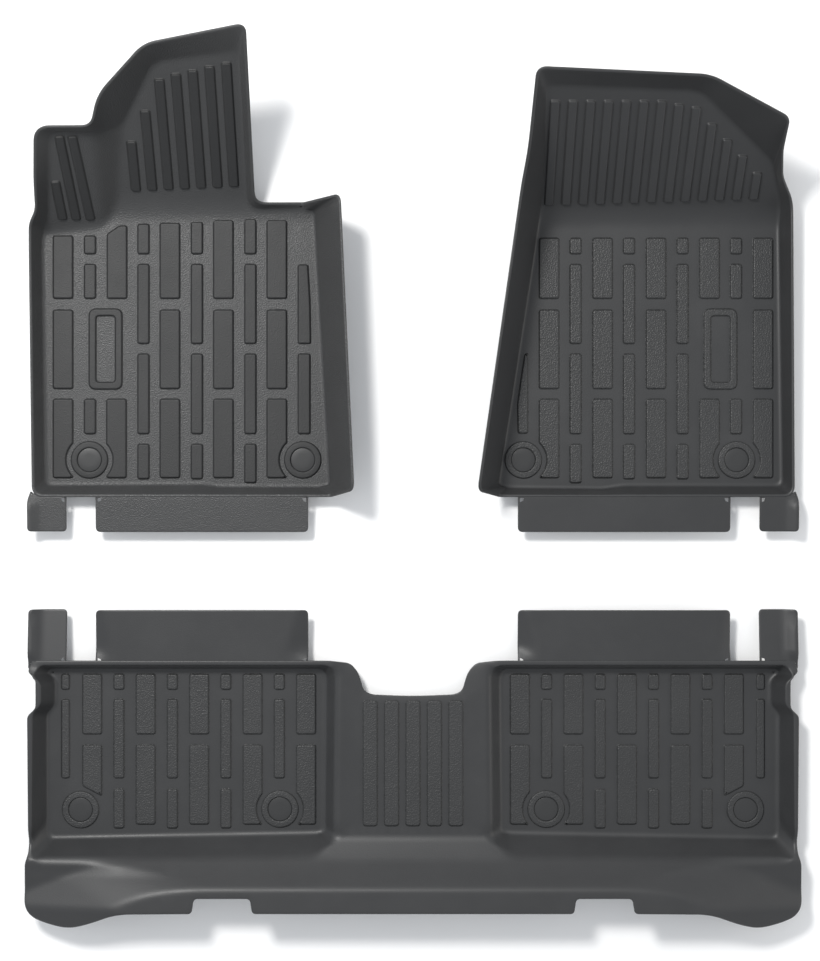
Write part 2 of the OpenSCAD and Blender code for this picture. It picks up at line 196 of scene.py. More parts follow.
class Sheet:
    """Collects points and faces, and ends as one mesh object."""

    def __init__(self):
        self.points = []
        self.faces = []

    def loop(self, points):
        first = len(self.points)
        self.points += [Vector(p) for p in points]
        return list(range(first, len(self.points)))

    def loft(self, rings):
        """Quads between each ring of indices and the next."""
        for low, high in zip(rings, rings[1:]):
            for i in range(len(low)):
                j = (i + 1) % len(low)
                self.faces.append((low[j], low[i], high[i], high[j]))

    def patch(self, outer, holes, extra, height, gap):
        """Fills the space between index loops, lifting the extra points to their height."""
        loops = [[self.points[i] for i in ring] for ring in [outer] + holes]
        kept = [p for p in extra if inside(*p, loops[0])
                and not any(inside(*p, hole) for hole in loops[1:]) and clear_of(*p, loops, gap)]
        known = [i for ring in [outer] + holes for i in ring]
        known += self.loop([(x, y, height(x, y)) for x, y in kept])
        edges, first = [], 0
        for ring in [outer] + holes:
            edges += [(first + i, first + (i + 1) % len(ring)) for i in range(len(ring))]
            first += len(ring)
        flat = [self.points[i].xy for i in known]
        _, _, triangles, origins, _, _ = delaunay_2d_cdt(flat, edges, [], 0, 1e-5)
        for triangle in triangles:
            if not all(origins[i] for i in triangle):
                continue
            corners = [origins[i][0] for i in triangle]
            middle = sum((flat[i] for i in corners), Vector((0, 0))) / 3
            if inside(middle.x, middle.y, loops[0]) and not any(
                    inside(middle.x, middle.y, hole) for hole in loops[1:]):
                self.faces.append(tuple(known[i] for i in corners))

    def finish(self, name, thickness=0.0):
        mesh = bpy.data.meshes.new(name)
        mesh.from_pydata([p * MM for p in self.points], [], self.faces)
        work = bmesh.new()
        work.from_mesh(mesh)
        bmesh.ops.remove_doubles(work, verts=work.verts, dist=MERGE)
        bmesh.ops.dissolve_degenerate(work, edges=work.edges, dist=MERGE / 2)
        bmesh.ops.recalc_face_normals(work, faces=work.faces)
        up = sum(f.normal.z * f.calc_area() for f in work.faces)
        if thickness and up < 0:
            bmesh.ops.reverse_faces(work, faces=work.faces)
        for face in work.faces:
            face.smooth = True
        work.to_mesh(mesh)
        work.free()
        piece = bpy.data.objects.new(name, mesh)
        bpy.context.scene.collection.objects.link(piece)
        if thickness:
            solid = piece.modifiers.new("sheet", "SOLIDIFY")
            solid.thickness = thickness * MM
            solid.offset = -1
            solid.use_even_offset = False
        print(name, "points", len(mesh.vertices), "faces", len(mesh.polygons))
        return piece


print("an empty sheet has", len(Sheet().points), "points")

# %% [markdown]
# ## How the floors rise
# A tray's floor is flat, then bends up into the toe-board. The driver's also has a foot
# rest: a steeper plane that stands proud of the toe-board, with a side wall on its right.
# Each plane is a formula, and a rounded maximum or minimum joins them, so every bend gets
# its fillet from one number.

# %% Heights of the floors
SHEET = 3.2                 # thickness of the moulded sheet
FLOOR = 7.0                 # upper face of the floors
RIM = 36.0                  # rims that carry a flap
DRIVER_BEND, DRIVER_SLOPE = 500.0, 0.78
PASSENGER_BEND, PASSENGER_SLOPE = 487.0, 1.0
SIDE_SLOPE = 0.95


def higher(a, b, soft):
    """The larger of two heights, rounded where they are within soft of each other."""
    near = max(soft - abs(a - b), 0) / soft
    return max(a, b) + near * near * soft / 4


def lower(a, b, soft):
    return -higher(-a, -b, soft)


REST_SLOPE, REST_SKEW = 0.906, 0.113    # the rest's foot runs aslant


def rest_plane(x, y):
    return FLOOR + (y - 458 - (x + 666) * REST_SKEW) * REST_SLOPE


def driver_floor(x, y):
    board = FLOOR + (y - DRIVER_BEND) * DRIVER_SLOPE
    edge_x = -554 - (614 - y) * 0.042
    side = rest_plane(edge_x, y) - SIDE_SLOPE * (x - edge_x)
    rest = lower(rest_plane(x, y), side, 9)
    return higher(higher(FLOOR, board, 20), rest, 7)


def passenger_floor(x, y):
    return higher(FLOOR, FLOOR + (y - PASSENGER_BEND) * PASSENGER_SLOPE, 22)


print("foot rest's top:", round(driver_floor(-600, 610)), "mm; board beside it:",
      round(driver_floor(-480, 610)), "mm")

# %% [markdown]
# ## The two front trays
# From the floor outward a wall has a fillet, the wall itself, a tight round at the rim, a
# narrow lip and a rolled edge. Each of these is a few loops. The fillets are where a soft
# lamp draws the bright lines that make moulded rubber read as moulded rubber, so they are
# real geometry and not only bump.

# %% Walls of a tray
FOOT_RADIUS = 6.5
RIM_RADIUS = 2.6
LIP, ROLL, EDGE_DEPTH = 4.6, 1.8, 2.2   # level lip, its rolled edge, and how far that hangs
SOFT_STEPS, ROLL_STEPS = 5, 3


def wall_rings(sheet, foot, rim, floor_height, rim_radius=None, rim_height=None):
    """Rings from the floor to the rolled edge, for matching loops of foot and rim."""
    columns = []
    for f, t, away, off in zip(foot, rim, outward(foot), outward(rim)):
        length = (t - f).length
        reach = min(FOOT_RADIUS, length * 0.38)
        turn = min(rim_radius(t) if rim_radius else RIM_RADIUS, length * 0.3)
        inner = f - away * (reach + 1.2)
        start = f - away * reach
        inner.z, start.z = floor_height(inner.x, inner.y), floor_height(start.x, start.y)
        climb = mix(f, t, reach / length)
        column = [inner, start]
        column += [bend(start, f, climb, k / SOFT_STEPS) for k in range(1, SOFT_STEPS + 1)]
        column += [mix(f, t, (reach + 3) / length), mix(f, t, 1 - (turn + 2) / length)]
        below, level = mix(f, t, 1 - turn / length), t + off * turn
        if rim_height:
            level.z = rim_height(level.x, level.y)
        column += [bend(below, t, level, k / SOFT_STEPS) for k in range(SOFT_STEPS)]
        column.append(level)
        corner = t + off * LIP
        down = corner - Vector((0, 0, EDGE_DEPTH))
        roll = corner - off * ROLL
        column += [bend(roll, corner, down, k / ROLL_STEPS) for k in range(ROLL_STEPS + 1)]
        columns.append(column)
    return [sheet.loop(ring) for ring in zip(*columns)]


def tray(name, rows, floor_height, extra):
    """A whole tray from its rows: foot x and y, rim x, y and z, size of the corner."""
    sizes = [row[5] for row in rows]
    foot = rounded([Vector((row[0], row[1], 0)) for row in rows], sizes)
    rim = rounded([Vector(row[2:5]) for row in rows], sizes)
    foot, rim = split_long([foot, rim])
    for point in foot:
        point.z = floor_height(point.x, point.y)
    sheet = Sheet()
    rings = wall_rings(sheet, foot, rim, floor_height)
    sheet.loft(rings)
    sheet.patch(rings[0], [], extra, floor_height, 3.2)
    return sheet.finish(name, SHEET)


print("fillet at the foot:", FOOT_RADIUS, "mm; round at the rim:", RIM_RADIUS, "mm")

# %% [markdown]
# The driver's tray is the odd one: its front edge steps round the foot rest and the pedals,
# and its inboard wall stands tall beside the tunnel. The floor needs extra points only where
# it bends, so two small grids are enough.

# %% Driver's tray
# each row: foot x and y, rim x, y and z, size of the corner
DRIVER_ROWS = [
    (-659, 4, -675, -12, RIM, 16),
    (-666, 440, -679, 442, 45, 30),
    (-661, 464, -678, 468, 50, 12),
    (-651, 484, -662, 490, 74, 14),
    (-640, 540, -658, 537, 110, 20),
    (-627, 615, -647, 618, 166, 24),
    (-556, 614, -550, 618, 168, 20),
    (-509, 627, -533, 667, 200, 24),
    (-443, 727, -452, 745, 232, 20),
    (-297, 741, -285, 776, 241, 13),
    (-298, 499, -286, 505, 31, 26),
    (-200, 499, -196, 507, 19, 6),
    (-177, 498, -130, 507, 124, 12),
    (-149, 3, -107, -1, 112, 12),
    (-176, 1, -146, -12, RIM, 7),
    (-350, 1, -350, -12, RIM, 8),
    (-376, 6, -376, -12, RIM, 8)]
rise = grid(-560, -150, DRIVER_BEND - 32, DRIVER_BEND + 32, 7)
rise += grid(-668, -496, 448, 628, 4.5)
driver_shell = tray("driver_shell", DRIVER_ROWS, driver_floor, rise)

# %% [markdown]
# The passenger's tray has one plain toe-board, whose outer corner is cut off aslant. Its
# inboard wall leans, and grows from the rear edge to the front.

# %% Passenger's tray
PASSENGER_ROWS = [
    (178, -1, 154, -12, RIM, 7),
    (153, 3, 117, -2, 112, 12),
    (223, 459, 182, 456, 127, 60),
    (231, 524, 191, 524, 142, 30),
    (232, 591, 201, 580, 170, 30),
    (227, 683, 211, 704, 241, 14),
    (488, 676, 498, 690, 243, 20),
    (628, 573, 636, 628, 200, 11),
    (636, 558, 635, 584, 145, 14),
    (643, 544, 643, 545, 100, 14),
    (657, 506, 670, 508, 52, 20),
    (663, 3, 676, -12, RIM, 16),
    (378, 3, 378, -12, RIM, 8),
    (340, -3, 340, -12, RIM, 8)]
rise = grid(220, 662, PASSENGER_BEND - 30, PASSENGER_BEND + 30, 7)
passenger_shell = tray("passenger_shell", PASSENGER_ROWS, passenger_floor, rise)

# %% [markdown]
# ## The rear tray
# Two footwells joined over the tunnel, a slope behind them, a back ledge and a wing at each
# end. The wells are lofts like the front trays' walls. All the rest is one deck with two
# holes, lifted by a formula that rounds together the planes of the slope, ledge and wings.

# %% Height of the rear deck
TUNNEL = 30.0
SILL = 46.0
SHELF_Y, SHELF = -661.0, 53.0
LEDGE_Y, LEDGE = -704.0, 95.0
TUNNEL_BACK = -624.0


def smooth_step(low, high, value):
    t = min(max((value - low) / (high - low), 0), 1)
    return t * t * (3 - 2 * t)


def rear_deck(x, y):
    """Height of everything on the rear tray that lies outside its two wells."""
    side = abs(x)
    front = mix(RIM, SILL, smooth_step(318, 340, -y) * smooth_step(640, 660, side))
    front = mix(TUNNEL, front, smooth_step(114, 150, side))
    slope = TUNNEL + (TUNNEL_BACK - y) * (SHELF - TUNNEL) / (TUNNEL_BACK - SHELF_Y)
    steep = higher(TUNNEL, slope, 5)
    gentle = SHELF + (SHELF_Y - y) * (LEDGE - SHELF) / (SHELF_Y - LEDGE_Y)
    ledge = LEDGE + (LEDGE_Y - y) * 0.08
    slope = higher(steep, gentle, 4) if y > SHELF_Y - 8 else gentle
    facet = 54 + 0.026 * (688 - side) + 0.13 * (y + 663)
    wing = 47 + 0.257 * (688 - side) - 0.4425 * (y + 717)
    wing = higher(facet, wing, 5)
    rolled = 60 + 0.25 * (688 - side) + 0.35 * (y + 738)
    wing = lower(wing, rolled, 8)
    slope = lower(slope, wing, 30 * smooth_step(655, 690, -y) + 4) if y < -630 else slope
    back = lower(slope, ledge, 4)
    reach = smooth_step(606, 640, -y) if side > 140 else smooth_step(600, 624, -y)
    return mix(front, back, reach)


print("deck at the middle of the ledge:", round(rear_deck(0, -725)),
      "mm; at a wing's tip:", round(rear_deck(-650, -765)), "mm")

# %% [markdown]
# Only the left well and the left half of the outline are listed. The right side is their
# mirror, which keeps the tray even and halves the numbers to keep in order.

# %% Half of the rear tray
WELL_ROWS = [               # left well: foot x and y, upper edge x and y, corner size
    (-655, -629, -679, -660, 15),
    (-656, -404, -677, -401, 9),
    (-641, -388, -662, -386, 9),
    (-641, -346, -662, -347, 9),
    (-655, -334, -677, -334, 8),
    (-650, -324, -665, -316, 9),
    (-164, -324, -152, -316, 10),
    (-157, -340, -134, -328, 10),
    (-160, -619, -137, -628, 14),
    (-184, -620, -178, -657, 12)]
DECK_HALF = [               # left half of the outline, from the back round to the front
    (-282, -746, 7), (-286, -720, 7), (-384, -720, 7), (-388, -746, 7),
    (-520, -747, 22), (-578, -771, 24), (-612, -779, 24), (-651, -771, 18), (-678, -760, 20),
    (-690, -738, 20), (-689, -668, 6), (-684, -650, 6), (-686, -406, 6), (-671, -392, 7),
    (-671, -341, 7), (-686, -327, 5), (-680, -308, 3), (-150, -308, 8), (-112, -313, 9),
    (-97, -330, 12), (-88, -362, 9), (-74, -369, 8)]


def well_loops():
    sizes = [row[4] for row in WELL_ROWS]
    foot = rounded([Vector((row[0], row[1], FLOOR)) for row in WELL_ROWS], sizes)
    edge = rounded([Vector((row[2], row[3], 0)) for row in WELL_ROWS], sizes)
    foot, edge = split_long([foot, edge])
    for point in edge:
        point.z = rear_deck(point.x, point.y)
    return foot, edge


def flip(points):
    """A loop mirrored left to right, still clockwise."""
    return [Vector((-p.x, p.y, p.z)) for p in reversed(points)]


def well_radius(point):
    """A well's upper edge is broadly rounded behind it and beside the tunnel."""
    behind = smooth_step(630, 655, -point.y) * (1 - smooth_step(658, 674, abs(point.x)))
    beside = 1 - smooth_step(138, 150, abs(point.x))
    return RIM_RADIUS + 8 * max(behind, beside)


def well_rings(sheet, foot, edge):
    """Rings from a well's floor up to the deck round it."""
    rings = wall_rings(sheet, foot, edge, lambda x, y: FLOOR,
                       rim_radius=well_radius, rim_height=rear_deck)
    return rings[:2 + SOFT_STEPS + 2 + SOFT_STEPS + 1]


print("well rows:", len(WELL_ROWS), "outline corners:", 2 * len(DECK_HALF) + 1)

# %% [markdown]
# The deck is one patch between the rolled outer edge and the two wells. Its extra points are
# close together only where the formula bends, and the wings get a fine grid of their own.

# %% Rear tray
rear = Sheet()
half = [Vector((x, y, 0)) for x, y, _ in DECK_HALF]
half_sizes = [size for _, _, size in DECK_HALF]
outline = half + [Vector((0, -372, 0))] + flip(half)
outline = rounded(outline, half_sizes + [60] + half_sizes[::-1])
outline, = split_long([outline])
off = outward(outline)
roll_rings = []
for inset, drop in ((2.0, 0), (0.7, 0.3), (0.1, 1.0), (0.0, 2.4)):
    ring = [p - way * inset for p, way in zip(outline, off)]
    roll_rings.append(rear.loop([(p.x, p.y, rear_deck(p.x, p.y) - drop) for p in ring]))
rear.loft(roll_rings)
holes = []
for turn in (lambda loop: loop, flip):
    foot, edge = (turn(loop) for loop in well_loops())
    rings = well_rings(rear, foot, edge)
    rear.loft(rings)
    rear.patch(rings[0], [], [], lambda x, y: FLOOR, 1)
    holes.append(rings[-1])
spots = grid(-100, 100, -615, -385, 18) + grid(-130, 130, -640, -618, 4)
spots += grid(-150, 150, SHELF_Y - 6, SHELF_Y + 6, 4) + grid(-440, 440, LEDGE_Y - 6, LEDGE_Y + 6, 4)
spots += grid(-440, 440, LEDGE_Y + 11, LEDGE_Y + 19, 8) + grid(-440, 440, -740, LEDGE_Y - 12, 12)
for side in (-1, 1):
    spots += [(side * x, y) for x, y in grid(444, 688, -775, -655, 4)]
rear.patch(roll_rings[0], holes, spots, rear_deck, 2.6)
rear_shell = rear.finish("rear_shell", SHEET)

# %% [markdown]
# ## Flaps and tabs
# Behind each front tray, and ahead of the rear one, a broad flap and a narrow tab bridge the
# gap under the front seats. They leave the rim just under its rolled edge, which makes the
# fold line. Each is a slab: an outline with a rolled edge, filled above and below.

# %% Slabs
def slab(name, corners, sizes, height):
    """A closed plate with rolled edges whose upper face follows a height formula."""
    loop, = split_long([rounded([Vector((x, y, 0)) for x, y in corners], sizes)])
    ways = outward(loop)
    sheet = Sheet()
    rings = []
    for inset, drop in ((3.6, 0), (1.8, 0), (0.6, 0.3), (0, 1.3), (0, SHEET - 0.5),
                        (0.6, SHEET), (3.6, SHEET)):
        ring = [p - way * inset for p, way in zip(loop, ways)]
        rings.append(sheet.loop([(p.x, p.y, height(p.x, p.y) - drop) for p in ring]))
    sheet.loft(rings)
    xs, ys = [x for x, _ in corners], [y for _, y in corners]
    spots = grid(min(xs), max(xs), min(ys), max(ys), 9)
    sheet.patch(rings[0], [], spots, height, 5)
    sheet.patch(rings[-1], [], spots, lambda x, y: height(x, y) - SHEET, 5)
    return sheet.finish(name)


print("a slab is", SHEET, "mm thick")

# %% [markdown]
# The flaps droop a little, and the rear ones have slanting folds near their ends. The tabs turn up
# along their outer edge, where they meet the sill. One formula each gives those heights.

# %% Heights of the flaps and tabs
def front_flap_height(x, y):
    return RIM - 1.0 - max(0, -20 - y) * 0.05


def front_tab_height(x, y):
    turned_up = smooth_step(666, 682, abs(x)) * smooth_step(12, 34, -y)
    return front_flap_height(x, y) + 8 * turned_up


def rear_flap_height(x, y):
    """Two slanting folds, one near each end, beyond which the flap bends down."""
    outer_fold, inner_fold = 552 + (y + 218) * 0.155, 202 - (y + 218) * 0.3
    beyond = max(0, abs(x) - outer_fold, inner_fold - abs(x))
    return RIM - 1.2 - beyond * 0.34 * smooth_step(-309, -280, y) + (y + 312) * 0.02


def rear_tab_height(x, y):
    turned_up = smooth_step(662, 680, abs(x)) * smooth_step(-312, -296, y)
    return RIM - 1.2 - (y + 312) * 0.1 + 9 * turned_up


print("height of a front flap's far edge:", round(front_flap_height(300, -79), 1), "mm")

# %% [markdown]
# The same four outlines serve the left and the right side, with x mirrored. Their first and
# last corners are hidden under the rims.

# %% Flaps and tabs
FLAP = [(566, -14.5), (566, -79), (187, -79), (187, -14.5)]
TAB = [(676, -10), (682, -6), (687, -20), (687, -78), (618, -78), (618, -14.5), (664, -15.5)]
REAR_FLAP = [(187, -314), (187, -218), (566, -218), (566, -314)]
REAR_TAB = [(618, -314), (618, -217), (686, -217), (686, -322), (675, -322), (666, -314)]
flaps = []
for side, body in ((-1, "driver"), (1, "passenger")):
    plates = (("flap", FLAP, (2, 9, 9, 2), front_flap_height, body),
              ("tab", TAB, (1.5, 2, 6, 8, 8, 2, 3), front_tab_height, body),
              ("flap", REAR_FLAP, (2, 9, 9, 2), rear_flap_height, "rear"),
              ("tab", REAR_TAB, (2, 8, 8, 2, 2, 2), rear_tab_height, "rear"))
    for kind, corners, sizes, height, owner in plates:
        hand = "left_" if side < 0 else "right_"
        name = f"rear_{hand}{kind}" if owner == "rear" else f"{body}_{kind}"
        placed = [(side * x, y) for x, y in corners]
        if clockwise(placed) != placed:
            placed, sizes = placed[::-1], sizes[::-1]
        flaps.append((slab(name, placed, sizes, height), owner))
print(len(flaps), "flaps and tabs")

# %% [markdown]
# ## Tread, ribs, rings and badge frames
# Raised shapes are closed lofts too. A small flare at the foot and a round at the top edge
# catch the light the way a moulding's draft and radii do. A pad beside an anchor ring is
# cut by a circle round that ring.

# %% Raised shapes
PAD_HEIGHT = 3.5
RIB_HEIGHT = 4.0
CUT_RADIUS = 42.5           # of the clear circle round an anchor
FRONT_POSTS = [(198, 50), (581, 50)]
REAR_POSTS = [(239, -577), (597, -578)]


def on_floor(x, y, h):
    return Vector((x, y, FLOOR + h))


def section(height, round_off):
    """How far in and how high each loop of a raised shape lies, from its root to its top."""
    return ((-1.7, -1.2), (-1.6, 0.0), (-0.8, 0.2), (-0.2, 0.8), (0.25, height - round_off),
            (0.7, height - round_off * 0.45), (1.4, height - round_off * 0.12),
            (round_off + 0.8, height), (round_off + 1.6, height))


def raised(sheet, loop, height, place=on_floor, round_off=1.3, holes=()):
    """Adds a raised shape on a flat outline; place turns (x, y, height) into a point."""
    outlines = [loop] + list(holes)
    stacks = []
    for outline in outlines:
        ways = outward(outline)
        stacks.append([])
        for inset, h in section(height, round_off):
            moved = [p - way * inset for p, way in zip(outline, ways)]
            stacks[-1].append(sheet.loop([place(p.x, p.y, h) for p in moved]))
        sheet.loft(stacks[-1])
    flat = Sheet()
    level = [flat.loop([(p.x, p.y, 0) for p in outline]) for outline in outlines]
    flat.patch(level[0], level[1:], [], lambda x, y: 0, 1)
    for end in (-1, 0):
        known = [i for stack in stacks for i in stack[end]]
        sheet.faces += [tuple(known[i] for i in face) for face in flat.faces]


print("loops in a raised shape:", len(section(PAD_HEIGHT, 1.3)))

# %% [markdown]
# Nearly every raised shape is a bar with rounded corners, so one helper makes its outline.
# Where a bar comes near an anchor, its stations are pushed out to the clear circle.

# %% Outlines of bars
BAR_STEP, CUT_STEP = 6.0, 2.5


def bar(x, width, y0, y1, corner=4.5, posts=()):
    """Outline of a rounded bar, cut by a circle round any post that is near."""
    left, right = x - width / 2, x + width / 2
    corners = [Vector(p) for p in ((left, y0, 0), (left, y1, 0), (right, y1, 0), (right, y0, 0))]
    loop, = split_long([rounded(corners, [corner] * 4)], CUT_STEP if posts else BAR_STEP)
    for px, py in posts:
        post = Vector((px, py, 0))
        if min((p - post).length for p in loop) > CUT_RADIUS:
            continue
        for i, p in enumerate(loop):
            if (p - post).length < CUT_RADIUS:
                moved = post + (p - post).normalized() * CUT_RADIUS
                loop[i] = Vector((min(max(moved.x, left), right), min(max(moved.y, y0), y1), 0))
    return [p for p, q in zip(loop, loop[1:] + loop[:1]) if (p - q).length > 0.3]


def polygon(corners, size=4.0):
    points = [Vector((x, y, 0)) for x, y in clockwise(corners)]
    loop, = split_long([rounded(points, [size] * len(points))], BAR_STEP)
    return loop


print("stations round a wide pad:", len(bar(0, 35, 0, 140)))

# %% [markdown]
# The front trays share one pattern: five columns of wide pads with four columns of narrow
# ones between, each column shifted against the next. Only the upper ends and the odd shapes
# along the inboard wall differ, so those are arguments.

# %% Front tread
PITCH, WIDE, NARROW = 96.0, 35.0, 20.0


def front_tread(name, side, tops, extra_shapes):
    """Tread of a front tray: wide and narrow columns cut round the anchor rings, and a badge frame.
    """
    sheet = Sheet()
    posts = [(side * x, y) for x, y in FRONT_POSTS]
    wide_tops, narrow_tops = tops
    for i in range(5):
        x = side * (244.5 + PITCH * i)
        if wide_tops[i]:
            raised(sheet, bar(x, WIDE, 340, wide_tops[i]), PAD_HEIGHT)
        if i != 3:
            raised(sheet, bar(x, WIDE, 178, 319), PAD_HEIGHT)
        raised(sheet, bar(x, WIDE, 18, 159, posts=posts), PAD_HEIGHT)
    for i in range(4):
        x = side * (292 + PITCH * i)
        raised(sheet, bar(x, NARROW, 420, narrow_tops[i]), PAD_HEIGHT)
        raised(sheet, bar(x, NARROW, 340 if i == 3 else 259, 401), PAD_HEIGHT)
        raised(sheet, bar(x, NARROW, 97, 159 if i == 3 else 240), PAD_HEIGHT)
        if i < 3:
            raised(sheet, bar(x, NARROW, 9 if i == 0 else 16, 78), PAD_HEIGHT)
    outer = bar(side * 552, 59, 177, 321, 13)
    inner = bar(side * 552, 35, 189, 309, 7)
    raised(sheet, outer, PAD_HEIGHT, holes=[list(reversed(inner))])
    for shape in extra_shapes:
        raised(sheet, polygon(shape), PAD_HEIGHT)
    return sheet.finish(name)


DRIVER_TOPS = ((480, 480, 475, 0, 452), (482, 477, 473, 452))
PASSENGER_TOPS = ((448, 448, 448, 448, 448), (448, 448, 448, 448))
driver_tread = front_tread("driver_tread", -1, DRIVER_TOPS, (
    [(-549, 340), (-549, 455), (-527, 470), (-514, 470), (-514, 340)],
    [(-206, 259), (-206, 400), (-189, 400), (-185, 330), (-184, 259)],
    [(-206, 97), (-206, 240), (-185, 240), (-185, 97)]))
passenger_tread = front_tread("passenger_tread", 1, PASSENGER_TOPS, (
    [(189, 98), (188, 150), (195, 200), (201, 238), (206, 242), (206, 98)],))

# %% [markdown]
# The rear tray has the same pads on both sides of the tunnel, and five long ribs along the
# tunnel's top.

# %% Rear tread
def rear_tread():
    sheet = Sheet()
    posts = [(side * x, y) for side in (-1, 1) for x, y in REAR_POSTS]
    for side in (-1, 1):
        for i in range(5):
            x = side * (192 + PITCH * i)
            raised(sheet, bar(x, WIDE - 1, -442, -335), PAD_HEIGHT)
            if i < 4:
                raised(sheet, bar(x, WIDE - 1, -604, -462, posts=posts), PAD_HEIGHT)
            x = side * (240 + PITCH * i)
            width = NARROW - 2 if i < 4 else NARROW - 6
            raised(sheet, bar(x, width, -362, -335), PAD_HEIGHT)
            raised(sheet, bar(x, width, -521, -380), PAD_HEIGHT)
            if 0 < i < 4:
                raised(sheet, bar(x, width, -611, -541), PAD_HEIGHT)
        raised(sheet, polygon([(side * x, y) for x, y in (
            (559, -462), (593, -462), (593, -535), (559, -553))], 4), PAD_HEIGHT)
    for i in range(5):
        raised(sheet, bar((i - 2) * 38.2, 25, -603, -380, 6), RIB_HEIGHT - 1,
               place=lambda x, y, h: Vector((x, y, TUNNEL + h)))
    return sheet.finish("rear_tread")


rear_tread_piece = rear_tread()

# %% [markdown]
# ## Ribs on the toe-boards and the foot rest
# A rib is laid out flat and then set on its board: the place function turns a distance up
# the board into a height and a distance forward.

# %% Ribs
def on_board(bend_y, slope):
    angle = math.atan(slope)
    along, up = (math.cos(angle), math.sin(angle)), (-math.sin(angle), math.cos(angle))

    def place(x, s, h):
        return Vector((x, bend_y + s * along[0] + h * up[0], FLOOR + s * along[1] + h * up[1]))
    return place, angle


RIB_WIDTH = 16.0


def board_ribs(name, middles, ends, bend_y, slope):
    """Ribs up a toe-board; ends are the forward distances where each starts and stops."""
    sheet = Sheet()
    place, angle = on_board(bend_y, slope)
    for x, (y0, y1) in zip(middles, ends):
        s0, s1 = (y0 - bend_y) / math.cos(angle), (y1 - bend_y) / math.cos(angle)
        raised(sheet, bar(x, RIB_WIDTH, s0, s1, 4), RIB_HEIGHT, place=place, round_off=1.8)
    return sheet.finish(name)


DRIVER_RIB_TOPS = (608, 655, 702, 710, 715, 721, 726)
driver_ribs = board_ribs("driver_ribs", [-494 + 29.2 * i for i in range(7)],
                         [(530 + 1.2 * i, top) for i, top in enumerate(DRIVER_RIB_TOPS)],
                         DRIVER_BEND, DRIVER_SLOPE)
PASSENGER_RIB_TOPS = (662, 662, 662, 662, 662, 662, 662, 657, 653, 629, 606, 582, 556)
passenger_ribs = board_ribs("passenger_ribs", [242.5 + 30.3 * i for i in range(13)],
                            [(505 + 0.8 * i, top) for i, top in enumerate(PASSENGER_RIB_TOPS)],
                            PASSENGER_BEND, PASSENGER_SLOPE)

# %% [markdown]
# The foot rest leans two ways, so its ribs are placed with vectors: along the rib, across it
# and straight out of the plane.

# %% Ribs of the foot rest
def rest_ribs():
    """Three slanting ribs on the driver's foot rest."""
    sheet = Sheet()
    normal = Vector((REST_SKEW * REST_SLOPE, -REST_SLOPE, 1)).normalized()
    for x0, y0, x1, y1 in ((-602, 480, -612, 609), (-577, 480, -590, 609), (-626, 480, -630, 540)):
        low = Vector((x0, y0, rest_plane(x0, y0)))
        high = Vector((x1, y1, rest_plane(x1, y1)))
        run = (high - low).normalized()
        across = run.cross(normal).normalized()
        outline = bar(0, 15, 0, (high - low).length, 4)
        raised(sheet, outline, RIB_HEIGHT - 0.5, round_off=1.8,
               place=lambda u, v, h: low + across * u + run * v + normal * h)
    return sheet.finish("driver_rest_ribs")


driver_rest_ribs = rest_ribs()

# %% [markdown]
# ## Rings, anchor heads and runners
# Round shapes are lathed: a profile of radius and height is swept round an axis. The ring
# belongs to the moulding; the head inside it is a separate hard plastic part that snaps on
# to a socket under the sheet.

# %% Lathed shapes
RING_PROFILE = [(22.0, -1.2), (21.7, 0.4), (21.9, 2.3), (22.3, 3.0), (23.1, 3.4), (24.3, 3.4),
                (30.8, 3.4), (32.0, 3.2), (32.6, 2.6), (33.0, 1.0), (33.8, 0.15),
                (34.6, -0.6), (34.6, -1.2)]
HEAD_PROFILE = [(13.0, -3.0), (13.0, -0.1), (20.8, -0.1), (21.3, 0.2), (21.3, 0.8), (21.0, 1.15),
                (20.3, 1.3), (10.0, 1.35), (0.6, 1.4)]


def lathe(sheet, middle, base, profile, closed, segments=72):
    rings = []
    for radius, height in profile:
        rings.append(sheet.loop([(middle[0] + radius * math.cos(-math.tau * k / segments),
                                  middle[1] + radius * math.sin(-math.tau * k / segments),
                                  base + height) for k in range(segments)]))
    if closed:
        rings.append(rings[0])
    else:
        sheet.faces += [tuple(rings[0]), tuple(reversed(rings[-1]))]
    sheet.loft(rings)


def anchor_rings(name, posts):
    sheet = Sheet()
    for post in posts:
        lathe(sheet, post, FLOOR, RING_PROFILE, closed=True)
    return sheet.finish(name)


def anchor_head(node):
    low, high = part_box(node)
    middle = ((low.x + high.x) / 2 / MM, (low.y + high.y) / 2 / MM)
    sheet = Sheet()
    lathe(sheet, middle, FLOOR, HEAD_PROFILE, closed=False)
    return sheet.finish(node.replace("_cap", "_head"))


rings = {"driver": anchor_rings("driver_rings", [(-x, y) for x, y in FRONT_POSTS]),
         "passenger": anchor_rings("passenger_rings", FRONT_POSTS),
         "rear": anchor_rings("rear_rings", [(s * x, y) for s in (-1, 1) for x, y in REAR_POSTS])}
heads = {node: anchor_head(node) for node in sorted(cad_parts) if node.endswith("_cap")}

# %% [markdown]
# Under each tray run low strips that grip the carpet. They are the same raised bars, turned
# upside down by their place function, and they are what the tray stands on.

# %% Runners
def runners(name, middles, y0, y1):
    """Anti-slip runners under a tray; they are what touches the carpet."""
    sheet = Sheet()
    for x in middles:
        raised(sheet, bar(x, 8, y0, y1, 3), FLOOR - SHEET, round_off=1.5,
               place=lambda u, v, h: Vector((u, v, FLOOR - SHEET - h)))
    return sheet.finish(name)


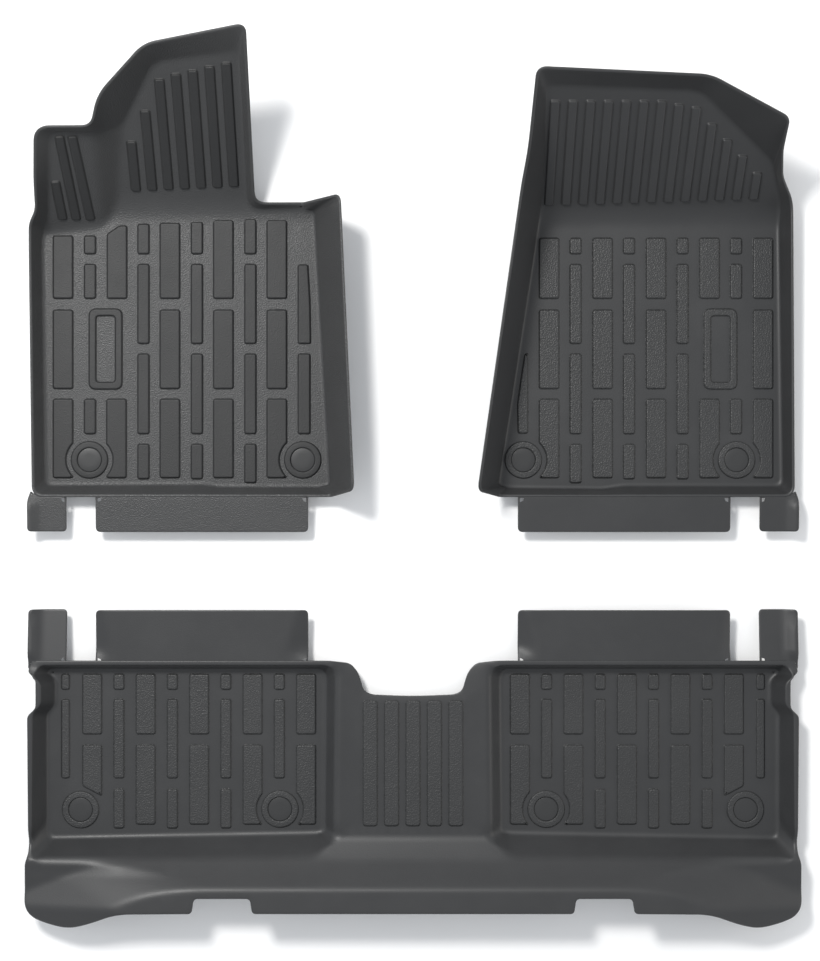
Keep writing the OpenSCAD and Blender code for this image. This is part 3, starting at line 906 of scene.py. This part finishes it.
FRONT_RUNNERS = (244, 340, 436, 532, 640)
REAR_RUNNERS = (626, 532, 436, 340, 180)
soles = {"driver": runners("driver_runners", [-x for x in FRONT_RUNNERS[::-1]], 15, 450),
         "passenger": runners("passenger_runners", FRONT_RUNNERS, 15, 450),
         "rear": runners("rear_runners", [side * x for side in (-1, 1) for x in REAR_RUNNERS],
                         -605, -345)}

# %% [markdown]
# ## Shader maths as Python
# A material is a graph of small sums. Wrapping a socket in a class whose operators add the
# Math nodes lets a mask or a grain be written as an expression, which is far easier to read
# and change than a list of nodes and links.

# %% Wire and Finish
class Wire:
    """A socket of a material, on which numbers and other wires can be reckoned."""

    def __init__(self, finish, socket):
        self.finish, self.socket = finish, socket

    def sum_with(self, operation, other):
        return self.finish.add("ShaderNodeMath", {"operation": operation}, {0: self, 1: other})

    def __add__(self, other):
        return self.sum_with("ADD", other)

    __radd__ = __add__

    def __mul__(self, other):
        return self.sum_with("MULTIPLY", other)

    __rmul__ = __mul__

    def between(self, low, high):
        """Zero below low, one above high, and a smooth step between."""
        return self.finish.add("ShaderNodeMapRange", {"interpolation_type": "SMOOTHSTEP"},
                               {"Value": self, "From Min": low, "From Max": high})


class Finish:
    """A material whose nodes are added one call at a time."""

    def __init__(self, name):
        self.material = bpy.data.materials.new(name)
        self.material.use_nodes = True
        self.tree = self.material.node_tree
        self.shader = self.tree.nodes["Principled BSDF"]

    def connect(self, socket, value):
        if isinstance(value, Wire):
            self.tree.links.new(value.socket, socket)
        else:
            socket.default_value = value

    def add(self, kind, settings=None, inputs=None, output=0):
        """Adds a node: its settings come first, then the values or wires of its sockets."""
        node = self.tree.nodes.new(kind)
        for key, value in (settings or {}).items():
            setattr(node, key, value)
        for key, value in (inputs or {}).items():
            self.connect(node.inputs[key], value)
        return Wire(self, node.outputs[output])

    def surface(self, **values):
        for name, value in values.items():
            self.connect(self.shader.inputs[name.replace("_", " ")], value)


print("a wire can be added to and multiplied, from either side")

# %% [markdown]
# ## Moulded rubber
# The mould's skin was etched with a fine pebble grain, and the set has two of them: on the
# driver's tray the floor is grained and the pads are smooth, on the others the pads are
# grained and the floor is smooth. One function makes both: only the grain's size and depth
# and the tone differ.
# The black is never even: it is a little greyer where grit has rubbed the pads.

# %% Rubber
FULL_GRAIN = 0.00045        # depth of the grain in metres at grain 1
OBJECT_POINT = 3            # the texture coordinate output that stays put on the object


def rubber(name, colour, roughness, grain, grain_size=2.0, mottling=0.10):
    """Grain size is the pebbles' spacing in mm; mottling is how uneven the black is."""
    finish = Finish(name)
    where = finish.add("ShaderNodeTexCoord", output=OBJECT_POINT)
    cells = finish.add("ShaderNodeTexVoronoi", {"feature": "SMOOTH_F1"},
                       {"Vector": where, "Scale": 1000 / grain_size, "Smoothness": 0.6})
    fine = finish.add("ShaderNodeTexNoise", {},
                      {"Vector": where, "Scale": 1400 / grain_size, "Detail": 2.0})
    cloud = finish.add("ShaderNodeTexNoise", {}, {"Vector": where, "Scale": 9.0, "Detail": 3.0})
    scuff = finish.add("ShaderNodeTexNoise", {}, {"Vector": where, "Scale": 55.0, "Detail": 4.0})
    height = cells * 0.75 + fine * 0.35
    bump = finish.add("ShaderNodeBump", {}, {"Height": height, "Strength": min(grain, 1.0),
                                             "Distance": FULL_GRAIN * max(grain, 1.0)})
    tone = cloud.between(0.35, 0.7) * mottling + scuff.between(0.4, 0.8) * (mottling * 0.5)
    lighter = tuple(min(1, c * 1.5 + 0.01) for c in colour)
    shade = finish.add("ShaderNodeMix", {"data_type": "RGBA"},
                       {"Factor": tone, 6: (*colour, 1), 7: (*lighter, 1)}, output=2)
    finish.surface(Base_Color=shade, Roughness=tone * 0.5 + roughness, Normal=bump,
                   Sheen_Weight=0.05, Sheen_Roughness=0.45)
    return finish.material


smooth_rubber = rubber("rubber_smooth", (0.0238, 0.0243, 0.0252), 0.43, 0.3)
grained_rubber = rubber("rubber_grained", (0.0225, 0.023, 0.0235), 0.43, 1.9, 2.4)
driver_floor_rubber = rubber("rubber_driver_floor", (0.033, 0.0335, 0.034), 0.42, 1.7, 2.0)
driver_pad_rubber = rubber("rubber_driver_pads", (0.012, 0.0124, 0.0128), 0.54, 0.8, 1.8)
head_plastic = rubber("plastic_head", (0.022, 0.0225, 0.023), 0.40, 0.15, 1.2, 0.05)
socket_plastic = rubber("plastic_socket", (0.05, 0.05, 0.052), 0.45, 0.2, 1.2, 0.05)
print("finishes:", [m.name for m in bpy.data.materials if m.name.startswith(("rubber", "plastic"))])

# %% [markdown]
# ## Everything rides on its body
# The front trays lift out of the car, so each visible piece is tied to the body that it
# moves with. The nodes of the working model that the shells and heads stand in for are hidden.

# %% Riding and replacing
def dress(piece, body, material):
    piece.data.materials.clear()
    piece.data.materials.append(material)
    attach(piece, body)


for body, shell, tread, floor_skin, pad_skin in (
        ("driver", driver_shell, driver_tread, driver_floor_rubber, driver_pad_rubber),
        ("passenger", passenger_shell, passenger_tread, smooth_rubber, grained_rubber),
        ("rear", rear_shell, rear_tread_piece, smooth_rubber, grained_rubber)):
    dress(shell, body, floor_skin)
    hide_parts(f"{body}_liner")
    dress(tread, body, pad_skin)
    dress(rings[body], body, pad_skin)
    dress(soles[body], body, smooth_rubber)
for plate, body in flaps:
    dress(plate, body, driver_floor_rubber if body == "driver" else smooth_rubber)
dress(driver_ribs, "driver", driver_pad_rubber)
dress(driver_rest_ribs, "driver", driver_pad_rubber)
dress(passenger_ribs, "passenger", smooth_rubber)
for node, head in heads.items():
    dress(head, node.split("_")[0], head_plastic)
    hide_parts(node)
for node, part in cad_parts.items():
    if node.endswith("_socket"):
        part.data.materials.clear()
        part.data.materials.append(socket_plastic)
print("heads:", len(heads), "sockets:", sum(n.endswith("_socket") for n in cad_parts))

# %% [markdown]
# ## Studio
# The trays are black, so they are drawn by what they reflect. A soft key lamp, high on the
# driver's side beyond the front edge, casts the shadow and runs bright lines along the
# fillets. Long weak soft boxes on three sides keep the walls from sinking into black.

# %% Floor and lamps
FLOOR_DROP = 0.0005         # keeps the floor just below the runners


def stage_floor():
    mesh = bpy.data.meshes.new("studio_floor")
    work = bmesh.new()
    bmesh.ops.create_grid(work, x_segments=8, y_segments=8, size=6)
    work.to_mesh(mesh)
    work.free()
    floor = bpy.data.objects.new("studio_floor", mesh)
    floor.location.z = -FLOOR_DROP
    bpy.context.scene.collection.objects.link(floor)
    paint = Finish("studio_white")
    paint.surface(Base_Color=(0.94, 0.94, 0.94, 1), Roughness=0.9)
    mesh.materials.append(paint.material)


def soft_box(name, place, target, size, power, colour=(1, 1, 1)):
    data = bpy.data.lights.new(name, "AREA")
    data.shape = "RECTANGLE"
    data.size, data.size_y = size
    data.energy, data.color = power, colour
    lamp = bpy.data.objects.new(name, data)
    lamp.location = place
    lamp.rotation_euler = (Vector(target) - Vector(place)).to_track_quat("-Z", "Y").to_euler()
    bpy.context.scene.collection.objects.link(lamp)
    print(name, "lamp,", power, "W")


stage_floor()
soft_box("key", (-1.3, 1.75, 3.3), (0, 0, 0), (0.7, 0.7), 127, (1.0, 0.99, 0.97))
soft_box("front_box", (0.0, 3.4, 1.5), (0, 0, 0), (4.0, 0.5), 5)
soft_box("left_box", (-3.2, -0.4, 1.3), (0, -0.2, 0), (3.0, 0.7), 6, (0.92, 0.96, 1.0))
soft_box("right_box", (3.2, 0.0, 1.2), (0, 0, 0), (3.0, 0.7), 20, (1.0, 0.95, 0.88))
world = bpy.data.worlds.new("studio_air")
world.use_nodes = True
air = world.node_tree.nodes["Background"]
air.inputs["Color"].default_value = (0.93, 0.96, 1.0, 1)
air.inputs["Strength"].default_value = 0.74
bpy.context.scene.world = world
bpy.context.scene.view_settings.view_transform = "Standard"
